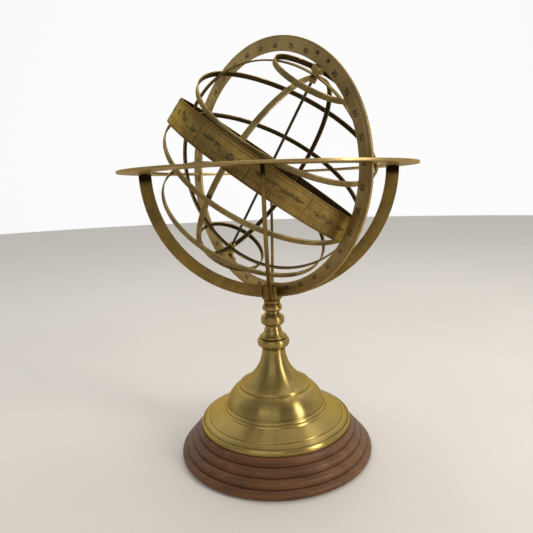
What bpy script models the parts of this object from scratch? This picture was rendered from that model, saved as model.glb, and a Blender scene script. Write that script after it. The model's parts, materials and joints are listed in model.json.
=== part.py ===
"""Desktop armillary sphere: brass rings in a four-armed cradle on a turned column and wooden plinth.

Frame: +Z up, origin on the column's axis where the felt pad meets the table. The cradle's arms
lie along X and Y, and the meridian ring stands on the diagonal between them, so that its raised
pole leans towards +X and -Y. All lengths are in metres.
"""
import math

import bmesh
import bpy
from mathutils import Matrix, Vector

MM = 0.001

# ---- Driving dimensions -------------------------------------------------------------------
GAP = 0.3 * MM                # seat clearance between pieces that touch
SLIDE = 0.3 * MM              # side clearance of a ring or rod that turns in a slot or bore

STRIP_W = 5.6 * MM            # width of the strip that colures and hoops are rolled from
STRIP_T = 1.6 * MM            # its thickness
COLURE_R = 111.0 * MM         # outer radius of the inner colure: this sets the sphere's size
COLURE_TURN = math.radians(110.5)   # solstitial colure, about the polar axis
POLAR_CIRCLE_R = 41.5 * MM    # polar circles, outer radius
BAND_TILT = math.radians(23.5)
BAND_W = 26.4 * MM            # broad zodiac band
BAND_T = 1.3 * MM

ROD_R = 1.5 * MM              # polar axis rod
NUT_R = 3.8 * MM              # round nuts that clamp the colures at the poles
NUT_H = 4.0 * MM
WASHER_H = 1.1 * MM

MERIDIAN_CLEARANCE = 5.1 * MM  # from the zodiac band out to the meridian ring's bore
MERIDIAN_W = 14.8 * MM        # meridian ring, from bore to rim
MERIDIAN_T = 2.5 * MM
MERIDIAN_AZIMUTH = math.radians(-45.0)
CENTRE_DROP = 2.3 * MM        # sphere's centre below the horizon ring's underside
POLE_ALTITUDE = math.radians(51.3)

PIVOT_NOSE_W = 8.0 * MM       # pivot block, width of its nose
PIVOT_PLATE_W = 23.0 * MM     # and of the plate that is riveted behind the meridian ring
PIVOT_T = 3.6 * MM
PIVOT_END_WALL = 1.4 * MM     # left beyond the blind bore for the polar axis
PIVOT_EDGE = 1.6 * MM         # plate's top edge below the meridian ring's rim
RIVET_R = 1.1 * MM
RIVET_HEAD_R = 1.9 * MM
RIVET_HEAD_H = 0.6 * MM
RIVET_SPREAD = 8.2 * MM       # rivets each side of the polar axis
RIVET_INSET = 8.7 * MM        # and out from the meridian ring's bore

ARM_FOOT_STEP = 2.8 * MM      # arms' lowest point below the meridian ring's
ARM_W = 13.5 * MM             # cradle arms, about the centre of the horizon ring's underside
ARM_T = 3.3 * MM
ARM_ROOT_R = 6.6 * MM         # arms end this far from the column's axis
TENON_T = 1.8 * MM            # tongue on an arm's top, peened into the horizon ring
TENON_EDGE = 3.0 * MM         # shoulder left at each end of that tongue
HORIZON_LIP = 3.9 * MM        # horizon ring's bore inside the arms
HORIZON_RIM = 16.6 * MM       # and its rim outside them
HORIZON_T = 2.5 * MM          # horizon ring's sheet

HUB_R = 11.4 * MM             # slotted hub at the foot of the arms
HUB_H = 20.8 * MM
HUB_CHAMFER = 2.3 * MM
HUB_SHOULDER_H = 7.0 * MM     # straight side starts this far above the hub's base
HUB_FLOOR = 7.5 * MM          # and the arms' lowest point this far
BEAD_H = 9.2 * MM             # heights of the column's turned pieces
BALUSTER_H = 20.2 * MM
COLLAR_H = 22.6 * MM
FOOT_H = 86.6 * MM            # spun brass foot
FOOT_NECK_R = 13.4 * MM
FOOT_RIM_R = 86.5 * MM
FOOT_WALL = 1.6 * MM
PLINTH_H = 31.5 * MM
PLINTH_R = 110.6 * MM
PLINTH_LEDGE = 3.0 * MM       # plinth's top step outside the foot's rim
FELT_T = 1.2 * MM
FELT_INSET = 6.6 * MM         # felt's edge inside the plinth's

TIE_R = 3.0 * MM              # threaded rod that ties hub, column, foot and plinth together
TIE_SEAT = 7.5 * MM           # depth of its hole in the hub
TIE_PROUD = 2.3 * MM          # its lower end below the nut
POCKET_R = 15.0 * MM          # pocket for the nut under the plinth
POCKET_H = 12.0 * MM
NUT_FLATS = 10.0 * MM
TIE_NUT_H = 5.0 * MM
TIE_WASHER_R = 12.0 * MM
TIE_WASHER_H = 1.6 * MM

ROUND = 52                    # facets round a large ring
TURNED = 28                   # facets round the column
PLINTH_FACETS = 40            # facets round the foot and plinth
PIN_FACETS = 12               # facets round rods, rivets and their holes

# ---- Places worked out from them ----------------------------------------------------------
OUTER_COLURE_R = COLURE_R + GAP + STRIP_T
HOOP_SEAT_R = OUTER_COLURE_R + GAP
EQUATOR_R = HOOP_SEAT_R + STRIP_T
BAND_INNER_R = EQUATOR_R + GAP
BAND_R = BAND_INNER_R + BAND_T
TROPIC_R = (BAND_INNER_R * math.cos(BAND_TILT) - BAND_W / 2 * math.sin(BAND_TILT)) - GAP

MERIDIAN_INNER_R = BAND_R + MERIDIAN_CLEARANCE
MERIDIAN_R = MERIDIAN_INNER_R + MERIDIAN_W
RIVET_RADIUS = MERIDIAN_INNER_R + RIVET_INSET
ARM_OUTER_R = MERIDIAN_R + CENTRE_DROP + ARM_FOOT_STEP
ARM_INNER_R = ARM_OUTER_R - ARM_W
ARM_CENTRE_R = (ARM_OUTER_R + ARM_INNER_R) / 2
HORIZON_R = ARM_OUTER_R + HORIZON_RIM
HORIZON_INNER_R = ARM_INNER_R - HORIZON_LIP

PLINTH_BOTTOM = FELT_T + GAP
PLINTH_TOP = PLINTH_BOTTOM + PLINTH_H
COLLAR_BOTTOM = PLINTH_TOP + FOOT_H
BALUSTER_BOTTOM = COLLAR_BOTTOM + COLLAR_H
BEAD_BOTTOM = BALUSTER_BOTTOM + BALUSTER_H
HUB_BOTTOM = BEAD_BOTTOM + BEAD_H
HUB_TOP = HUB_BOTTOM + HUB_H
RING_HEIGHT = HUB_BOTTOM + HUB_FLOOR + ARM_OUTER_R   # table to the horizon ring's underside

CENTRE = Vector((0.0, 0.0, RING_HEIGHT - CENTRE_DROP))
SWEEP = Vector((math.cos(MERIDIAN_AZIMUTH), math.sin(MERIDIAN_AZIMUTH), 0.0))
POLE = math.cos(POLE_ALTITUDE) * SWEEP + Vector((0.0, 0.0, math.sin(POLE_ALTITUDE)))
POLE_UP = -math.sin(POLE_ALTITUDE) * SWEEP + Vector((0.0, 0.0, math.cos(POLE_ALTITUDE)))
POLE_SIDE = POLE.cross(POLE_UP)


def hoop_offset(outer_r):
    """Distance along the polar axis at which a hoop of this radius rests on the colures."""
    return math.sqrt(HOOP_SEAT_R ** 2 - (outer_r - STRIP_T) ** 2) + STRIP_W / 2


# ---- Materials ----------------------------------------------------------------------------
def finish(name, colour, roughness, metallic):
    """Principled material with the piece's base colour, roughness and metallic value."""
    material = bpy.data.materials.get(name) or bpy.data.materials.new(name)
    material.use_nodes = True
    shader = material.node_tree.nodes["Principled BSDF"]
    shader.inputs["Base Color"].default_value = (*colour, 1.0)
    shader.inputs["Roughness"].default_value = roughness
    shader.inputs["Metallic"].default_value = metallic
    return material


def ring_brass():
    return finish("ring_brass", (0.42, 0.31, 0.13), 0.38, 1.0)


def cradle_brass():
    return finish("cradle_brass", (0.34, 0.24, 0.09), 0.36, 1.0)


def column_brass():
    return finish("column_brass", (0.60, 0.43, 0.16), 0.26, 1.0)


def dark_steel():
    return finish("dark_steel", (0.20, 0.17, 0.13), 0.45, 1.0)


def stained_wood():
    return finish("stained_wood", (0.16, 0.07, 0.04), 0.42, 0.0)


def green_felt():
    return finish("green_felt", (0.03, 0.10, 0.06), 0.95, 0.0)


# ---- Shapes -------------------------------------------------------------------------------
def add_object(name, shape, material, place=None, parent=None):
    """Put a bmesh into the scene as a named object, its faces pointing out."""
    bmesh.ops.recalc_face_normals(shape, faces=shape.faces)
    mesh = bpy.data.meshes.new(name)
    shape.to_mesh(mesh)
    shape.free()
    mesh.shade_smooth()
    mesh.set_sharp_from_angle(angle=math.radians(35.0))
    mesh.materials.append(material)
    thing = bpy.data.objects.new(name, mesh)
    bpy.context.collection.objects.link(thing)
    thing.parent = parent
    thing.matrix_basis = Matrix.Identity(4) if place is None else place
    return thing


def spun(profile, steps, angle=math.tau):
    """Turn a closed (radius, height) outline about Z, and cap it where the turn isn't whole.

    A side of the outline that lies on the axis sweeps nothing, so it gets no edge.
    """
    shape = bmesh.new()
    corners = [shape.verts.new((radius, 0.0, height)) for radius, height in profile]
    pairs = [(a, b) for a, b in zip(corners, corners[1:] + corners[:1]) if a.co.x > 0.0 or b.co.x > 0.0]
    edges = [shape.edges.new(pair) for pair in pairs]
    whole = angle == math.tau
    turned = bmesh.ops.spin(
        shape, geom=corners + edges, cent=(0, 0, 0), axis=(0, 0, 1), dvec=(0, 0, 0),
        angle=angle, steps=steps, use_merge=whole)
    if not whole:
        last = [piece for piece in turned["geom_last"] if isinstance(piece, bmesh.types.BMEdge)]
        bmesh.ops.contextual_create(shape, geom=edges)
        bmesh.ops.contextual_create(shape, geom=last)
    bmesh.ops.remove_doubles(shape, verts=shape.verts, dist=0.001 * MM)
    return shape


def strip_profile(outer_r, thickness, width):
    """Outline of a flat strip rolled into a hoop: its section, centred on the hoop's plane."""
    inner_r = outer_r - thickness
    half = width / 2
    return [(outer_r, half), (outer_r, -half), (inner_r, -half), (inner_r, half)]


def arc_points(centre, out, up, start, end, steps):
    """Points of a round stretch in an outline, from one angle in degrees to another.

    It reaches out from its centre by one value, and up and down by the other.
    """
    turns = [math.radians(start + (end - start) * i / steps) for i in range(steps + 1)]
    return [(centre[0] + out * math.cos(t), centre[1] + up * math.sin(t)) for t in turns]


def block(low, high):
    """Box between two corners."""
    shape = bmesh.new()
    bmesh.ops.create_cube(shape, size=1.0)
    low, high = Vector(low), Vector(high)
    bmesh.ops.scale(shape, vec=high - low, verts=shape.verts)
    bmesh.ops.translate(shape, vec=(low + high) / 2, verts=shape.verts)
    return shape


def rod(radius, low, high, sides):
    """Cylinder on Z between two heights."""
    shape = bmesh.new()
    bmesh.ops.create_cone(
        shape, cap_ends=True, segments=sides, radius1=radius, radius2=radius, depth=high - low)
    bmesh.ops.translate(shape, vec=(0.0, 0.0, (low + high) / 2), verts=shape.verts)
    return shape


def combine(thing, shape, operation, place=None):
    """Cut a shape out of an object, or join it on, by an exact Boolean in the object's frame."""
    placed = thing.matrix_basis if place is None else thing.matrix_basis @ place
    tool = add_object(thing.name + "_tool", shape, thing.data.materials[0], placed, thing.parent)
    tool.hide_render = True
    tool.display_type = "WIRE"
    step = thing.modifiers.new(operation.lower(), "BOOLEAN")
    step.operation = operation
    step.solver = "EXACT"
    step.object = tool


def is_side(face):
    """Whether a face looks along Y."""
    face.normal_update()
    return abs(face.normal.y) > 0.9


def draw_out(shape, faces, way):
    """Extrude faces by a vector, leaving no face behind inside the solid."""
    drawn = bmesh.ops.extrude_face_region(shape, geom=faces)
    moved = [piece for piece in drawn["geom"] if isinstance(piece, bmesh.types.BMVert)]
    bmesh.ops.translate(shape, vec=way, verts=moved)
    buried = [face for face in faces if any(len(edge.link_faces) > 2 for edge in face.edges)]
    bmesh.ops.delete(shape, geom=buried, context="FACES_ONLY")


def axes_frame(x_axis, y_axis, z_axis, origin):
    """Placement whose X, Y and Z point along the three given directions."""
    turn = Matrix((x_axis, y_axis, z_axis)).transposed().to_4x4()
    return Matrix.Translation(origin) @ turn


def joint_empty(name, place):
    """Empty on a joint's axis that carries the pieces of one moving body."""
    empty = bpy.data.objects.new(name, None)
    bpy.context.collection.objects.link(empty)
    empty.matrix_basis = place
    return empty


# ---- Plinth and foot ----------------------------------------------------------------------
def make_felt_pad():
    add_object("felt_pad", rod(PLINTH_R - FELT_INSET, 0.0, FELT_T, TURNED), green_felt())


def make_wood_plinth():
    """Turned plinth: four rounded steps, a flat top, and a pocket below for the clamping nut."""
    steps = 4
    rise = PLINTH_H / steps
    top_r = FOOT_RIM_R + PLINTH_LEDGE
    run = (PLINTH_R - top_r) / (steps - 1)
    bore = TIE_R + SLIDE
    outline = [(bore, PLINTH_TOP)]
    for step in range(steps):
        radius = top_r + run * step
        height = PLINTH_TOP - rise * step
        outline += [(radius - 1.6 * MM, height), (radius - 0.4 * MM, height - 0.5 * MM)]
        outline += [(radius, height - 1.8 * MM), (radius, height - rise + 1.6 * MM)]
        outline += [(radius - 1.2 * MM, height - rise + 0.3 * MM)]
    outline[-1] = (PLINTH_R - 1.0 * MM, PLINTH_BOTTOM)
    roof = PLINTH_BOTTOM + POCKET_H
    outline += [(POCKET_R, PLINTH_BOTTOM), (POCKET_R, roof), (bore, roof)]
    add_object("wood_plinth", spun(outline, PLINTH_FACETS), stained_wood())


def foot_outline():
    """Outer outline of the spun foot from its neck out to its rim, as (radius, height).

    Between neck and rim the points are shares of the way out and of the foot's height.
    """
    flare = [(0.0, 1.0 - GAP / FOOT_H), (0.007, 0.933), (0.027, 0.856), (0.060, 0.782), (0.109, 0.714)]
    upper = [(0.167, 0.655), (0.231, 0.603), (0.298, 0.561), (0.369, 0.527), (0.383, 0.488)]
    lower = [(0.430, 0.469), (0.513, 0.404), (0.573, 0.311), (0.594, 0.253), (0.637, 0.212)]
    plate = [(0.650, 0.192), (0.879, 0.104), (0.903, 0.092)]
    reach = FOOT_RIM_R - FOOT_NECK_R
    points = [(FOOT_NECK_R + r * reach, PLINTH_TOP + h * FOOT_H) for r, h in flare + upper + lower + plate]
    rolled = [(FOOT_RIM_R - 1.4 * MM, PLINTH_TOP + 4.8 * MM), (FOOT_RIM_R, PLINTH_TOP + 3.2 * MM)]
    return points + rolled


def make_bell_foot():
    """Foot spun from sheet: a hollow bell in two steps, then a sloping plate with a rolled rim."""
    outer = foot_outline()
    rim = PLINTH_TOP + GAP
    bore = TIE_R + SLIDE
    inner = []
    for (r0, h0), (r1, h1), (r2, h2) in zip(outer, outer[1:], outer[2:]):
        along = Vector((r2 - r0, h2 - h0)).normalized()
        inner.append((r1 + along.y * FOOT_WALL, h1 - along.x * FOOT_WALL))
    inner = [point for point in inner if point[0] > bore + FOOT_WALL]
    neck_top = outer[0][1]
    crown = neck_top - 2.0 * FOOT_WALL
    neck = [(inner[0][0], crown), (bore, crown), (bore, neck_top)]
    lip = [(FOOT_RIM_R, rim), (FOOT_RIM_R - FOOT_WALL, rim)]
    outline = outer + lip + inner[::-1][1:] + neck
    add_object("bell_foot", spun(outline, PLINTH_FACETS), column_brass())


# ---- Column -------------------------------------------------------------------------------
def turned_piece(name, low, height, outline):
    """Piece of the column, bored for the tie rod, with its seat clearance at the top.

    Its outline runs from top to bottom, as radius in millimetres and share of its height.
    """
    points = [(radius * MM, low + share * (height - GAP)) for radius, share in outline]
    bore = TIE_R + SLIDE
    closed = [(bore, points[0][1])] + points + [(bore, points[-1][1])]
    add_object(name, spun(closed, TURNED), column_brass())


def make_collar():
    """Collar on the foot's neck: a flared shoulder, a fillet line and a heavy torus."""
    shoulder = [(9.9, 1.0), (10.4, 0.897), (12.2, 0.762), (14.9, 0.655), (15.4, 0.592), (15.0, 0.565)]
    torus = arc_points((13.9, 0.341), 4.3, 0.193, 75.0, -65.0, 6)
    turned_piece("collar", COLLAR_BOTTOM, COLLAR_H, shoulder + torus + [(13.2, 0.054), (12.6, 0.0)])


def make_baluster():
    """Knop of the column, with a neck above and below."""
    knop = arc_points((6.4, 0.553), 6.6, 0.332, 62.0, -62.0, 6)
    turned_piece("baluster", BALUSTER_BOTTOM, BALUSTER_H,
                 [(8.0, 1.0), (8.0, 0.935)] + knop + [(8.9, 0.161), (9.9, 0.0)])


def make_bead():
    """Small bead under the hub, with a line turned into its upper half."""
    upper = [(9.2, 1.0), (10.4, 0.876), (10.0, 0.831)]
    round_part = arc_points((7.3, 0.618), 3.8, 0.427, 28.0, -60.0, 4)
    turned_piece("upper_bead", BEAD_BOTTOM, BEAD_H, upper + round_part + [(8.3, 0.09), (8.3, 0.0)])


def make_hub():
    """Hub: four slots hold the arms, and a diagonal slot guides the foot of the meridian ring."""
    bore = TIE_R + SLIDE
    seat = HUB_BOTTOM + TIE_SEAT
    neck = HUB_R - HUB_CHAMFER
    shoulder = HUB_BOTTOM + HUB_SHOULDER_H
    outline = [(0.0, HUB_TOP), (HUB_R, HUB_TOP), (HUB_R, shoulder), (neck, shoulder - HUB_CHAMFER)]
    outline += [(neck, HUB_BOTTOM + 1.5 * MM), (neck - 0.6 * MM, HUB_BOTTOM)]
    outline += [(bore, HUB_BOTTOM), (bore, seat), (0.0, seat)]
    hub = add_object("hub", spun(outline, TURNED), cradle_brass())
    reach = 2 * HUB_R
    top = HUB_TOP + HUB_H
    arm_floor = RING_HEIGHT - ARM_OUTER_R - GAP
    arm_root = ARM_ROOT_R * ARM_INNER_R / ARM_CENTRE_R - GAP
    half = ARM_T / 2 + GAP
    for quarter in range(4):
        slot = block((arm_root, -half, arm_floor), (reach, half, top))
        combine(hub, slot, "DIFFERENCE", Matrix.Rotation(quarter * math.pi / 2, 4, "Z"))
    slot_floor = CENTRE.z - MERIDIAN_R - GAP
    half = MERIDIAN_T / 2 + SLIDE
    slot = block((-reach, -half, slot_floor), (reach, half, top))
    combine(hub, slot, "DIFFERENCE", Matrix.Rotation(MERIDIAN_AZIMUTH, 4, "Z"))


# ---- Tie rod and its nut ------------------------------------------------------------------
def make_tie_rod():
    top = HUB_BOTTOM + TIE_SEAT - GAP
    nut_low = PLINTH_BOTTOM + POCKET_H - 2 * GAP - TIE_WASHER_H - TIE_NUT_H
    add_object("tie_rod", rod(TIE_R, nut_low - TIE_PROUD, top, PIN_FACETS), dark_steel())


def make_tie_washer_and_nut():
    """Washer against the pocket's roof, and a hexagon nut below it."""
    roof = PLINTH_BOTTOM + POCKET_H
    bore = TIE_R + SLIDE
    washer_top = roof - GAP
    washer_low = washer_top - TIE_WASHER_H
    washer = [(TIE_WASHER_R, washer_top), (TIE_WASHER_R, washer_low)]
    washer += [(bore, washer_low), (bore, washer_top)]
    add_object("tie_washer", spun(washer, TURNED), dark_steel())
    nut_top = washer_low - GAP
    corner_r = NUT_FLATS / math.sqrt(3.0)
    nut = add_object("tie_nut", rod(corner_r, nut_top - TIE_NUT_H, nut_top, 6), dark_steel())
    combine(nut, rod(bore, nut_top - 2 * TIE_NUT_H, nut_top + TIE_NUT_H, PIN_FACETS), "DIFFERENCE")


def heading(point):
    """Angle of a point about Z, counted from X."""
    return math.atan2(point.y, point.x)


# ---- Cradle -------------------------------------------------------------------------------
def make_arm(name, azimuth):
    """Quarter arc of flat bar from the hub up to a tongue that fills a slot in the horizon ring."""
    foot = math.asin(ARM_ROOT_R / ARM_CENTRE_R)
    head = math.pi / 2 - math.asin(GAP / ARM_CENTRE_R)
    shape = spun(strip_profile(ARM_OUTER_R, ARM_OUTER_R - ARM_INNER_R, ARM_T), 18, head - foot)
    width = ARM_OUTER_R - ARM_INNER_R
    head_face = max(shape.faces, key=lambda face: heading(face.calc_center_median()))
    inset = (ARM_T - TENON_T) / 2
    bmesh.ops.inset_region(shape, faces=[head_face], thickness=inset)
    centre = head_face.calc_center_median()
    out = centre.normalized()
    squeeze = (width - 2 * TENON_EDGE) / (width - 2 * inset)
    for corner in head_face.verts:
        corner.co -= out * (corner.co - centre).dot(out) * (1.0 - squeeze)
    draw_out(shape, [head_face], Vector((0, 0, 1)).cross(out) * (HORIZON_T + GAP))
    upright = Matrix.Rotation(math.pi / 2, 4, "X") @ Matrix.Rotation(foot - math.pi / 2, 4, "Z")
    place = Matrix.Translation((0, 0, RING_HEIGHT)) @ Matrix.Rotation(azimuth, 4, "Z") @ upright
    add_object(name, shape, cradle_brass(), place)


def make_horizon_ring():
    """Flat ring on the four arms, slotted for their tongues and, at its bore, for the meridian."""
    top = RING_HEIGHT + HORIZON_T
    outline = [(HORIZON_R, RING_HEIGHT), (HORIZON_R, top)]
    outline += [(HORIZON_INNER_R, top), (HORIZON_INNER_R, RING_HEIGHT)]
    ring = add_object("horizon_ring", spun(outline, ROUND), ring_brass())
    low, high = RING_HEIGHT - HORIZON_T, top + HORIZON_T
    half = TENON_T / 2 + GAP
    near = ARM_INNER_R + TENON_EDGE - GAP
    far = ARM_OUTER_R - TENON_EDGE + GAP
    for quarter in range(4):
        slot = block((near, -half, low), (far, half, high))
        combine(ring, slot, "DIFFERENCE", Matrix.Rotation(quarter * math.pi / 2, 4, "Z"))
    half = MERIDIAN_T / 2 + SLIDE
    reach = MERIDIAN_R + 2 * SLIDE
    slot = block((-reach, -half, low), (reach, half, high))
    combine(ring, slot, "DIFFERENCE", Matrix.Rotation(MERIDIAN_AZIMUTH, 4, "Z"))


# ---- Meridian ring and its pivots ---------------------------------------------------------
def make_meridian_ring(body):
    """Graduated ring that carries the poles, drilled for the pivot blocks' rivets."""
    half = MERIDIAN_T / 2
    outline = [(MERIDIAN_R, half), (MERIDIAN_R, -half)]
    outline += [(MERIDIAN_INNER_R, -half), (MERIDIAN_INNER_R, half)]
    ring = add_object("meridian_ring", spun(outline, ROUND), ring_brass(), None, body)
    for pole in (1, -1):
        for side in (1, -1):
            hole = rod(RIVET_R + GAP, -MERIDIAN_T, MERIDIAN_T, PIN_FACETS)
            place = Matrix.Translation((pole * RIVET_RADIUS, side * RIVET_SPREAD, 0.0))
            combine(ring, hole, "DIFFERENCE", place)


def pivot_rear():
    """Where a pivot block's plate starts behind the meridian ring's mid plane."""
    return MERIDIAN_T / 2 + GAP


def pivot_bore_end():
    """How far from the sphere's centre the blind bore for the polar axis reaches."""
    return MERIDIAN_INNER_R - GAP - PIVOT_END_WALL


def make_pivot_block(name, body, turn):
    """Block riveted behind the meridian ring, its nose bored for the end of the polar axis.

    The nose and the plate are two faces side by side, drawn out together to the nose's width;
    the plate's two sides are then drawn out further to its own width.
    """
    low = HOOP_SEAT_R + WASHER_H + GAP
    middle = MERIDIAN_INNER_R - GAP
    high = MERIDIAN_R - PIVOT_EDGE
    rear = pivot_rear()
    back = rear + PIVOT_T
    half = PIVOT_NOSE_W / 2
    nose = [(low, -half), (middle, -half), (middle, rear), (middle, back), (low, back)]
    plate = [(middle, rear), (high, rear), (high, back), (middle, back)]
    shape = bmesh.new()
    corners = {point: shape.verts.new((point[0], -half, point[1])) for point in nose + plate}
    section = [shape.faces.new([corners[point] for point in outline]) for outline in (nose, plate)]
    draw_out(shape, section, (0.0, 2 * half, 0.0))
    sides = [face for face in shape.faces if face.calc_center_median().x > middle and is_side(face)]
    for face in sides:
        way = math.copysign(PIVOT_PLATE_W / 2 - half, face.calc_center_median().y)
        draw_out(shape, [face], (0.0, way, 0.0))
    pivot = add_object(name, shape, cradle_brass(), turn, body)
    bore = rod(ROD_R + SLIDE, low - 1.0 * MM, pivot_bore_end(), PIN_FACETS)
    combine(pivot, bore, "DIFFERENCE", Matrix.Rotation(math.pi / 2, 4, "Y"))
    for spread in (RIVET_SPREAD, -RIVET_SPREAD):
        hole = rod(RIVET_R + GAP, rear - 1.0 * MM, back + 1.0 * MM, PIN_FACETS)
        combine(pivot, hole, "DIFFERENCE", Matrix.Translation((RIVET_RADIUS, spread, 0.0)))


def make_rivet(name, body, turn, spread):
    """Rivet through ring and block, with a low head on each side."""
    face = MERIDIAN_T / 2 + GAP
    back = pivot_rear() + PIVOT_T + GAP
    outline = [(0.0, -face - RIVET_HEAD_H), (RIVET_HEAD_R * 0.7, -face - RIVET_HEAD_H)]
    outline += [(RIVET_HEAD_R, -face), (RIVET_R, -face), (RIVET_R, back), (RIVET_HEAD_R, back)]
    outline += [(RIVET_HEAD_R * 0.7, back + RIVET_HEAD_H), (0.0, back + RIVET_HEAD_H)]
    place = turn @ Matrix.Translation((RIVET_RADIUS, spread, 0.0))
    add_object(name, spun(outline, PIN_FACETS), cradle_brass(), place, body)


# ---- Sphere -------------------------------------------------------------------------------
def make_colure(name, body, outer_r, turn):
    """Full hoop through both poles, drilled there for the polar axis."""
    upright = Matrix.Rotation(turn, 4, "Z") @ Matrix.Rotation(math.pi / 2, 4, "X")
    hoop = spun(strip_profile(outer_r, STRIP_T, STRIP_W), ROUND)
    colure = add_object(name, hoop, ring_brass(), upright, body)
    hole = rod(ROD_R + GAP, -1.2 * outer_r, 1.2 * outer_r, PIN_FACETS)
    combine(colure, hole, "DIFFERENCE", Matrix.Rotation(math.pi / 2, 4, "X"))


def make_hoop(name, body, outer_r, offset):
    """Rolled strip round the polar axis, resting on the outside of the colures."""
    hoop = spun(strip_profile(outer_r, STRIP_T, STRIP_W), ROUND)
    add_object(name, hoop, ring_brass(), Matrix.Translation((0.0, 0.0, offset)), body)


def make_zodiac_band(body):
    """Broad band on the ecliptic, outside the equator, its high edge against a tropic."""
    tilt = Matrix.Rotation(COLURE_TURN, 4, "Z") @ Matrix.Rotation(-BAND_TILT, 4, "Y")
    band = spun(strip_profile(BAND_R, BAND_T, BAND_W), ROUND)
    add_object("zodiac_band", band, ring_brass(), tilt, body)


def make_polar_axis(body):
    tip = pivot_bore_end() - GAP
    add_object("polar_axis", rod(ROD_R, -tip, tip, PIN_FACETS), dark_steel(), None, body)


def make_pole_fittings(body, pole, sign):
    """Round nut inside the colures and washer outside them, clamping both on the axis."""
    bore = ROD_R + GAP
    nut_top = COLURE_R - STRIP_T - GAP
    levels = {"nut": (nut_top - NUT_H, nut_top), "washer": (HOOP_SEAT_R, HOOP_SEAT_R + WASHER_H)}
    for kind, (low, high) in levels.items():
        outline = [(NUT_R, sign * high), (NUT_R, sign * low), (bore, sign * low), (bore, sign * high)]
        add_object(f"pole_{kind}_{pole}", spun(outline, PIN_FACETS), cradle_brass(), None, body)


# ---- Assembly -----------------------------------------------------------------------------
def make_stand():
    make_felt_pad()
    make_wood_plinth()
    make_bell_foot()
    make_collar()
    make_baluster()
    make_bead()
    make_hub()
    make_tie_rod()
    make_tie_washer_and_nut()
    for quarter, side in enumerate(("right", "back", "left", "front")):
        make_arm("arm_" + side, quarter * math.pi / 2)
    make_horizon_ring()


def make_meridian():
    """Meridian ring, pivot blocks and rivets, on an empty whose X points at the raised pole."""
    body = joint_empty("meridian_pivot", axes_frame(POLE, -POLE_UP, POLE_UP.cross(POLE), CENTRE))
    make_meridian_ring(body)
    for pole, turn in (("north", Matrix.Identity(4)), ("south", Matrix.Rotation(math.pi, 4, "Z"))):
        make_pivot_block("pivot_block_" + pole, body, turn)
        for number, spread in enumerate((RIVET_SPREAD, -RIVET_SPREAD), start=1):
            make_rivet(f"rivet_{pole}_{number}", body, turn, spread)


def make_sphere():
    """Colures, hoops, zodiac band and polar axis, on an empty whose Z is the polar axis."""
    body = joint_empty("sphere_pivot", axes_frame(POLE_UP, POLE_SIDE, POLE, CENTRE))
    make_colure("colure_solstitial", body, COLURE_R, COLURE_TURN)
    make_colure("colure_equinoctial", body, OUTER_COLURE_R, COLURE_TURN + math.pi / 2)
    make_hoop("equator", body, EQUATOR_R, 0.0)
    make_hoop("tropic_north", body, TROPIC_R, hoop_offset(TROPIC_R))
    make_hoop("tropic_south", body, TROPIC_R, -hoop_offset(TROPIC_R))
    make_hoop("polar_circle_north", body, POLAR_CIRCLE_R, hoop_offset(POLAR_CIRCLE_R))
    make_hoop("polar_circle_south", body, POLAR_CIRCLE_R, -hoop_offset(POLAR_CIRCLE_R))
    make_zodiac_band(body)
    make_polar_axis(body)
    for pole, sign in (("north", 1), ("south", -1)):
        make_pole_fittings(body, pole, sign)


for leftover in list(bpy.data.objects):
    bpy.data.objects.remove(leftover, do_unlink=True)
make_stand()
make_meridian()
make_sphere()
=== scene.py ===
"""Looks of the desktop armillary sphere: antique brass rings in a cradle, on a turned column,
a spun foot and a stained plinth. Sections follow the object from the table upwards."""
import json
import math

import bmesh
import bpy
import numpy as np
from mathutils import Matrix, Vector


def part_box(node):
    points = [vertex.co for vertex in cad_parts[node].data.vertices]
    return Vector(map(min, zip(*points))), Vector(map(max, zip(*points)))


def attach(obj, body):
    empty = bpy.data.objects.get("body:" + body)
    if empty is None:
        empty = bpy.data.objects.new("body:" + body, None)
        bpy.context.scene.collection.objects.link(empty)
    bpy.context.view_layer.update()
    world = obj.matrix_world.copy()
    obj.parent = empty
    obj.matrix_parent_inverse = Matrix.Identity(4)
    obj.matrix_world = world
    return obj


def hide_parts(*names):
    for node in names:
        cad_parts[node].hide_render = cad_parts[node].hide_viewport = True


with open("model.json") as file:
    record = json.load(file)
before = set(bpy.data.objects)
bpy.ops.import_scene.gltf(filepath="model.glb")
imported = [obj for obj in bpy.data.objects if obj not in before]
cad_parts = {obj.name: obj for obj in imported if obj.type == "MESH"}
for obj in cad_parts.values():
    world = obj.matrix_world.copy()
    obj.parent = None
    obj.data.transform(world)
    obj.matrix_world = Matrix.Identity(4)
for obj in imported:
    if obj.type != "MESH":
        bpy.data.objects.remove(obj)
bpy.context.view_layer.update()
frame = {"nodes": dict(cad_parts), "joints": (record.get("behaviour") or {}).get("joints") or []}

MM = 0.001


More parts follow.
